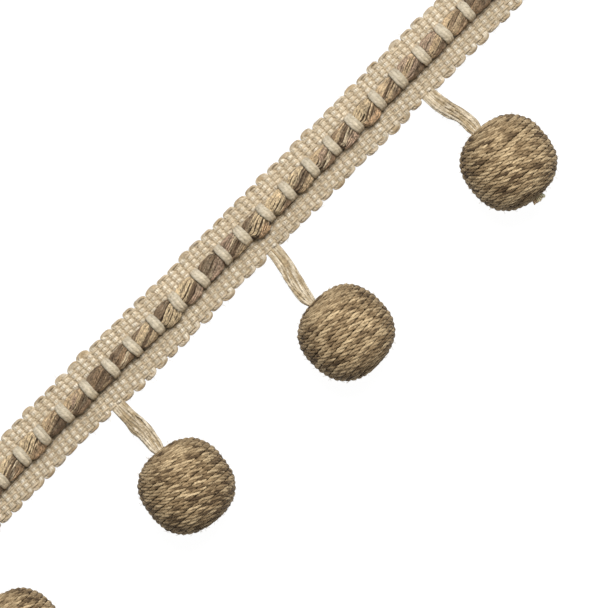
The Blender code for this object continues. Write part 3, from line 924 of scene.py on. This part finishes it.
def ball_place(index):
    """A ball's centre and the directions across and along it, from its solid's box."""
    low, high = (np.array(corner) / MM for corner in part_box(f"ball_{index + 1}"))
    centre = np.array([(low[0] + high[0]) / 2, (low[1] + high[1]) / 2, high[2] - BALL_RADIUS])
    tilt = math.radians(BEADS[index]["tilt"])
    axis = np.array([-math.sin(tilt), math.cos(tilt), 0.0])
    across = np.array([math.cos(tilt), math.sin(tilt), 0.0])
    return centre, across, axis


def ball_profile():
    """Arc length from the pole on +axis along the yarn's middle, distance from the axis, and height."""
    radius = BALL_RADIUS - YARN_RADIUS
    angle = np.linspace(0, np.pi, PROFILE_STEPS)
    power = 2 / BALL_SQUARENESS
    out = radius * np.sin(angle) ** power
    along = BALL_AXIAL * radius * signed_power(np.cos(angle), power)
    run = np.concatenate([[0], np.cumsum(np.hypot(np.diff(out), np.diff(along)))])
    return run, out, along


def wound_path(rng, centre, across, axis):
    """The wound yarn's middle line, the ball's outward directions on it, and the length along it."""
    run, out, along = ball_profile()
    half = PROFILE_STEPS // 2
    start = np.interp(POLE_HOLE, out[:half], run[:half])
    length = run[-1] - 2 * start
    turns = length / TURN_PITCH
    fine = np.linspace(0, 1, PATH_STEPS + 1)
    radius = np.interp(start + length * fine, run, out)
    gaps = 2 * np.pi * turns / PATH_STEPS * (radius[1:] + radius[:-1]) / 2
    travelled = np.concatenate([[0], np.cumsum(gaps)])
    yarn = np.linspace(0, travelled[-1], int(travelled[-1] / PLY_STEP))
    share = np.interp(yarn, travelled, fine)
    angle = 2 * np.pi * turns * share + rng.uniform(0, 2 * np.pi)
    sideways = noise(rng, 1, yarn, amount=0.06, spacing=12)[0]
    sideways = sideways + noise(rng, 1, yarn, amount=0.06, spacing=3)[0]
    place = start + length * share + sideways
    before, after = place - SLOPE_REACH, place + SLOPE_REACH
    ahead_out = np.interp(after, run, out) - np.interp(before, run, out)
    ahead_along = np.interp(after, run, along) - np.interp(before, run, along)
    slope = unit(np.stack([-ahead_along, ahead_out], axis=-1))
    round_out = np.cos(angle)[:, None] * across + np.sin(angle)[:, None] * ABOVE
    normal = round_out * slope[:, :1] + axis * slope[:, 1:]
    middle = centre + round_out * np.interp(place, run, out)[:, None]
    middle = middle + axis * np.interp(place, run, along)[:, None]
    middle = middle + normal * noise(rng, 1, yarn, amount=0.08, spacing=9)[0][:, None]
    return middle, normal, yarn


def add_plies(yarns, rng, middle, normal, yarn):
    """The plies that twist about the wound yarn's middle line, in flecks of three dyes, with painted
    shade on the ball's lower side.
    """
    beside = np.cross(normal, unit(np.gradient(middle, axis=0)))
    phase = 2 * np.pi * yarn / PLY_PITCH + noise(rng, 1, yarn, amount=0.6, spacing=9)[0]
    dark = 0.04 + noise(rng, 1, yarn, amount=0.20, spacing=14)[0]
    dark = dark + noise(rng, 1, yarn, amount=0.25, spacing=4)[0]
    plies, dyes = [], []
    for ply in range(PLIES):
        turn = phase + 2 * np.pi * ply / PLIES
        spread = PLY_SPREAD * (1 + noise(rng, 1, yarn, amount=0.15, spacing=1.9)[0])
        sideward = beside * (spread * np.cos(turn))[:, None]
        line = middle + sideward + normal * (PLY_RISE * np.sin(turn))[:, None]
        tone = dark + noise(rng, 1, yarn, amount=0.24, spacing=8)[0]
        tone = tone + noise(rng, 1, yarn, amount=0.78, spacing=1.5)[0]
        dye = mix(BALL_TAN, BALL_LIGHT, 1 - rise(tone, start=-0.8125, width=1.25))
        dye = mix(dye, BALL_BROWN, rise(tone, start=0.15, width=0.8))
        # painted shade: lower yarn darker, fading out towards the top
        upper = rise(line[:, 2:] / BALL_RADIUS, start=PAINTED_SHADE_TOP, width=2 - PAINTED_SHADE_TOP)
        plies.append(line)
        dyes.append(dye * (PAINTED_LOW_SHADE + (1 - PAINTED_LOW_SHADE) * upper))
    lines = np.array(plies)
    lines[..., 2] = np.maximum(lines[..., 2], PLY_WIDE)
    hint = np.broadcast_to(normal, lines.shape)
    yarns.add(lines, PLY_WIDE, PLY_HIGH, np.array(dyes), sides=6, hint=hint, groove=0.38)


def add_ball_core(yarns, centre, axis):
    """The body that closes the gaps between a ball's turns, dyed near the yarn's own darkest brown,
    which also stands as painted shade for the depths between them.
    """
    run, out, along = ball_profile()
    share = (BALL_RADIUS - BALL_CORE_DEPTH * YARN_RADIUS) / (BALL_RADIUS - YARN_RADIUS)
    rings = np.linspace(BALL_CORE_CAP, run[-1] - BALL_CORE_CAP, num=25)
    line = centre + axis * (np.interp(rings, run, along) * share)[:, None]
    radius = np.interp(rings, run, out)[None] * share
    # the yarn's darkest brown, also a painted shade between the turns
    yarns.add(line[None], radius, radius, BALL_BROWN * 1.3, sides=28)


def add_pole_ends(yarns, rng, centre, outward, stand, radius):
    """A round bundle of the core's yarn ends, which closes the turns' hole at a ball's pole."""
    number = np.arange(TUFT_FIBRES)[:, None]
    out = radius * np.sqrt((number + 0.5) / TUFT_FIBRES)
    angle = number * GOLDEN_ANGLE
    beside = out * (np.cos(angle) * np.cross(outward, ABOVE) + np.sin(angle) * ABOVE)
    root = centre + outward * (BALL_RADIUS * BALL_AXIAL - TUFT_ROOT) + beside
    length = (TUFT_ROOT + stand) * rng.uniform(0.8, 1.0, (TUFT_FIBRES, 1, 1))
    t = np.linspace(0, 1, num=5)[None, :, None]
    scatter = TUFT_SCATTER * rng.normal(size=(TUFT_FIBRES, 3)) * max(0, stand)
    splay = (TUFT_SPLAY * beside + scatter)[:, None]
    lines = root[:, None] + outward * length * t + splay * t ** 2
    dye = mix(BALL_BROWN, BALL_LIGHT, rng.uniform(0.25, 0.95, (TUFT_FIBRES, 1)))
    dye = dye * (1 + max(0, stand) * np.array(TUFT_TINT))
    yarns.add(lines, TUFT_RADIUS, TUFT_RADIUS, dye, sides=4)


def make_ball(index, material):
    """A ball: plies twisted into a yarn that is wound from pole to pole over a dark core."""
    rng = np.random.default_rng(20 + index)
    row = BEADS[index]
    centre, across, axis = ball_place(index)
    middle, normal, yarn = wound_path(rng, centre, across, axis)
    yarns = Yarns()
    add_plies(yarns, rng, middle, normal, yarn)
    add_ball_core(yarns, centre, axis)
    add_pole_ends(yarns, rng, centre, -axis, row["tuft"], row["stub"])
    add_pole_ends(yarns, rng, centre, axis, *HANGER_POLE)
    chosen = rng.integers(0, len(yarn), size=260)
    roots = (middle + BALL_FUZZ_OFFSET * normal)[chosen]
    add_fuzz(yarns, rng, roots, BALL_FUZZ_OUT * normal[chosen], length=0.6, dye=BALL_LIGHT)
    ball = yarns.build(f"wound_ball_{index + 1}", material, "ball_yarn")
    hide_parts(f"ball_{index + 1}")


def bezier(points, count):
    """Points along a cubic curve."""
    t = np.linspace(0, 1, count)[:, None]
    a, b, c, d = points
    return a * (1 - t) ** 3 + b * 3 * (1 - t) ** 2 * t + c * 3 * (1 - t) * t ** 2 + d * t ** 3


def hanger_path(index):
    """The middle line of a hanger, from the tape's edge to the ball's pole."""
    centre, across, axis = ball_place(index)
    root = np.array([boundary_x(root_boundaries()[index]) + HANGER_SHIFT, 0.0, GROUND_Z])
    root[1] = wander(root[0]) - RUN_END + HANGER_ROOT_INSET
    pole = centre + across * BEADS[index]["enter"] + axis * (BALL_RADIUS - HANGER_POLE_INSET)
    reach = (root[1] - pole[1]) / 2
    out = root + np.array([0, -reach, 0])
    return bezier((root, out, pole + axis * reach, pole), HANGER_STEPS)


def make_hanger(index, material):
    """The bundle of strands from the tape's edge to the ball's pole."""
    rng = np.random.default_rng(40 + index)
    row = BEADS[index]
    path = hanger_path(index)
    t = np.linspace(0, 1, HANGER_STEPS)
    ahead = unit(np.gradient(path, axis=0))
    side = unit(np.cross(ahead, ABOVE))
    up = np.cross(side, ahead)
    middle = 4 * t * (1 - t)
    width = (row["root"] * (1 - t) + row["end"] * t) * (1 - middle) + row["middle"] * middle
    strands = 13
    closing = HANGER_CLOSE * rise(t, start=0.88, width=0.12)
    place = np.linspace(-1, 1, strands)[:, None] * (width / 2 - HANGER_RIM) * (1 - closing)
    stray = HANGER_STRAY + HANGER_STRAY_MIDDLE * middle
    place = place + noise(rng, strands, t, amount=stray, spacing=0.22)
    layer = HANGER_LAYER * np.where(np.arange(strands) % 2, 1, -1)[:, None]
    layer = layer * rise(t, width=0.15)
    layer = layer + noise(rng, strands, t, amount=0.16, spacing=0.3) * middle
    lines = path - side * place[..., None] + up * layer[..., None]
    shade = np.clip(HANGER_SHADE_MIX + noise(rng, strands, t, amount=0.7, spacing=0.10), 0, 1)
    tone = HANGER_TONE + 0.10 * rng.uniform(-1, 1, (strands, 1, 1))
    dye = mix(HANGER_SHADE, HANGER_LIGHT, shade) * tone
    wide = HANGER_WIDE + noise(rng, strands, t, amount=0.03, spacing=0.2)
    yarns = Yarns()
    yarns.add(lines, wide, HANGER_HIGH, dye, sides=7, hint=up, groove=0.25)
    core_wide = width[None] / 2 - HANGER_CORE_INSET
    yarns.add(path[None], core_wide, HANGER_CORE_HIGH, HANGER_SHADE, sides=8)
    roots = rng.choice(lines[:, HANGER_FUZZ_STEPS].reshape(-1, 3), HANGER_FUZZ)
    away = side[HANGER_STEPS // 3] * rng.choice((-1.0, 1.0), (HANGER_FUZZ, 1))
    add_fuzz(yarns, rng, roots, away, length=1.0, dye=HANGER_LIGHT)
    hanger = yarns.build(f"hanger_strands_{index + 1}", material, "hanger_yarn")
    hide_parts(f"hanger_{index + 1}")


def make_floor():
    """A plain white floor."""
    bpy.ops.mesh.primitive_plane_add(size=6.0, location=(0, 0, 0))
    floor = bpy.context.object
    floor.name = "floor"
    material = bpy.data.materials.new("white_floor")
    material.use_nodes = True
    shader = material.node_tree.nodes["Principled BSDF"]
    shader.inputs["Base Color"].default_value = (0.1, 0.1, 0.1, 1)
    shader.inputs["Roughness"].default_value = 0.9
    shader.inputs["Specular IOR Level"].default_value = 0.0
    shader.inputs["Emission Color"].default_value = (1, 1, 1, 1)
    shader.inputs["Emission Strength"].default_value = 0.97
    floor.data.materials.append(material)


def make_sky():
    """A dim sky that is brighter at the horizon and below it."""
    world = bpy.data.worlds.new("studio")
    bpy.context.scene.world = world
    world.use_nodes = True
    nodes, links = world.node_tree.nodes, world.node_tree.links
    split = nodes.new("ShaderNodeSeparateXYZ")
    links.new(nodes.new("ShaderNodeTexCoord").outputs["Generated"], split.inputs[0])
    ramp = nodes.new("ShaderNodeValToRGB")
    rows = ((0.12, HORIZON_LIGHT), (0.2, SKY_LIGHT))
    for stop, (place, level) in zip(ramp.color_ramp.elements, rows):
        stop.position = place
        stop.color = (level, level, level, 1)
    links.new(split.outputs[2], ramp.inputs[0])
    links.new(ramp.outputs[0], nodes["Background"].inputs[0])


def make_key_light():
    """One large soft light from above, a little from the photograph's top (+X and +Y)."""
    data = bpy.data.lights.new("key", "AREA")
    data.size = 0.6
    data.energy = 24.0
    light = bpy.data.objects.new("key", data)
    bpy.context.scene.collection.objects.link(light)
    light.location = KEY_PLACE
    light.rotation_euler = (-Vector(KEY_PLACE)).to_track_quat("-Z", "Y").to_euler()


def make_camera():
    """The photograph's camera: straight above, turned so that the tape runs across a corner."""
    data = bpy.data.cameras.new("camera")
    data.sensor_width = SENSOR_WIDTH
    data.lens = SENSOR_WIDTH * VIEW_DISTANCE / VIEW_WIDTH
    data.clip_start = 0.001
    camera = bpy.data.objects.new("camera", data)
    bpy.context.scene.collection.objects.link(camera)
    camera.location = CAMERA_PLACE
    camera.rotation_euler = (0, 0, math.radians(CAMERA_TURN))
    bpy.context.scene.camera = camera
    bpy.context.scene.view_settings.view_transform = "Standard"


tape_yarn = yarn_material("tape_yarn", twist_pitch=1.1, plies=2, fibres=7, contrast=0.34,
                          twist_depth=0.3, gloss=0.2, slubs=1900)
cord_yarn = yarn_material("cord_yarn", twist_pitch=1.4, plies=2, fibres=4, contrast=0.80,
                          twist_depth=0.2, gloss=0.2, slubs=2800)
hanger_yarn = yarn_material("hanger_yarn", twist_pitch=1.5, plies=2, fibres=5, contrast=0.45,
                            twist_depth=0.5, gloss=0.2, slubs=1900)
ball_yarn = yarn_material("ball_yarn", twist_pitch=6.0, plies=2, fibres=5, contrast=0.50,
                          twist_depth=0.1, gloss=0.25, slubs=1900)

weft = make_weft(tape_yarn)
warp = make_warp(tape_yarn)
ground = make_ground(tape_yarn)
make_cord(cord_yarn)
for number in range(len(BEADS)):
    make_ball(number, ball_yarn)
    make_hanger(number, hanger_yarn)
make_floor()
make_sky()
make_key_light()
make_camera()
